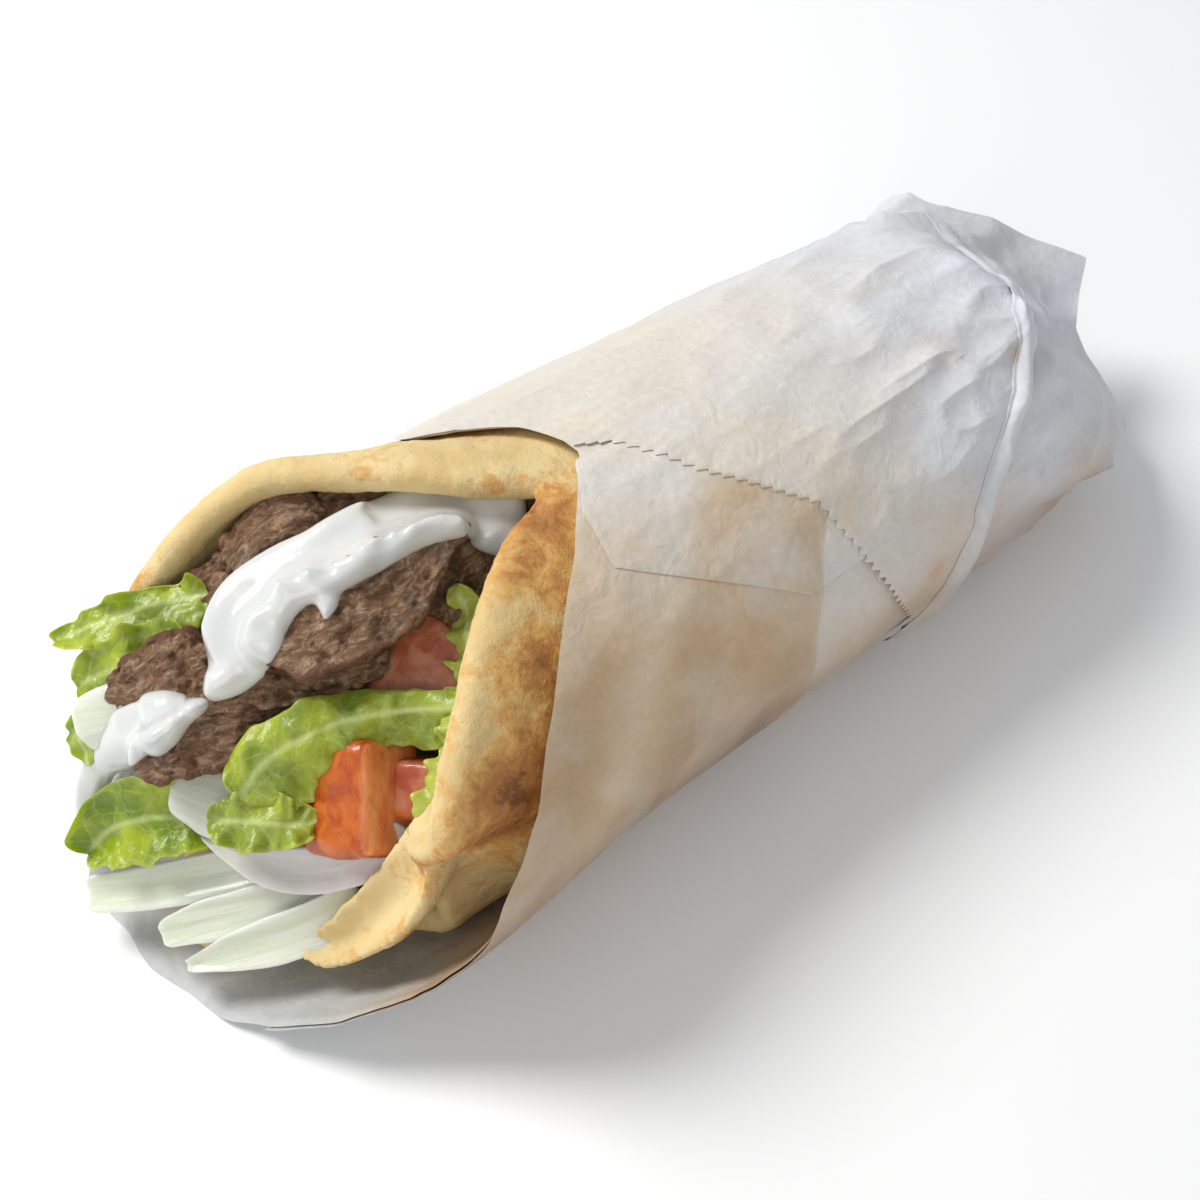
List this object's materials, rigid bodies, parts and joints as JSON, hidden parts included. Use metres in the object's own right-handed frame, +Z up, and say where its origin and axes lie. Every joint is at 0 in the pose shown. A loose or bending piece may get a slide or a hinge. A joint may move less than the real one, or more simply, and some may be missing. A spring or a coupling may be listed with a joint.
{
  "type": "gyro wrap",
  "caption": "Soft pita rolled round sliced meat, salad and white garlic sauce, in thin deli paper pinched shut at one end.",
  "frame": {"origin": "middle of the flat strip that the wrap rests on, half way along the roll", "axes": "+Z up from the resting surface; +X along the roll from its open end to its closed paper end; the opening looks towards -X, -Y and up"},
  "size_m": [0.2469, 0.0943, 0.0688],
  "materials": {
    "paper": "thin translucent waxed deli paper",
    "pita": "soft griddled flatbread with toasted patches",
    "meat": "browned fibrous sliced meat",
    "tomato": "wet cut tomato",
    "onion": "translucent raw onion",
    "lettuce": "crisp leaf with pale veins",
    "sauce": "thick glossy white sauce"
  },
  "bodies": {
    "root": {"lettuce_1": "lettuce", "lettuce_2": "lettuce", "lettuce_3": "lettuce", "lettuce_4": "lettuce", "lettuce_5": "lettuce", "lettuce_6": "lettuce", "meat_filling": "meat", "meat_slice_1": "meat", "meat_slice_2": "meat", "meat_slice_3": "meat", "meat_slice_4": "meat", "meat_slice_5": "meat", "meat_slice_6": "meat", "meat_slice_7": "meat", "meat_slice_8": "meat", "meat_slice_9": "meat", "onion_1": "onion", "onion_2": "onion", "onion_3": "onion", "onion_4": "onion", "onion_5": "onion", "onion_6": "onion", "paper_wrap": "paper", "pita": "pita", "salad_filling": "lettuce", "sauce_1": "sauce", "sauce_2": "sauce", "tomato_1": "tomato", "tomato_2": "tomato"}
  },
  "joints": []
}
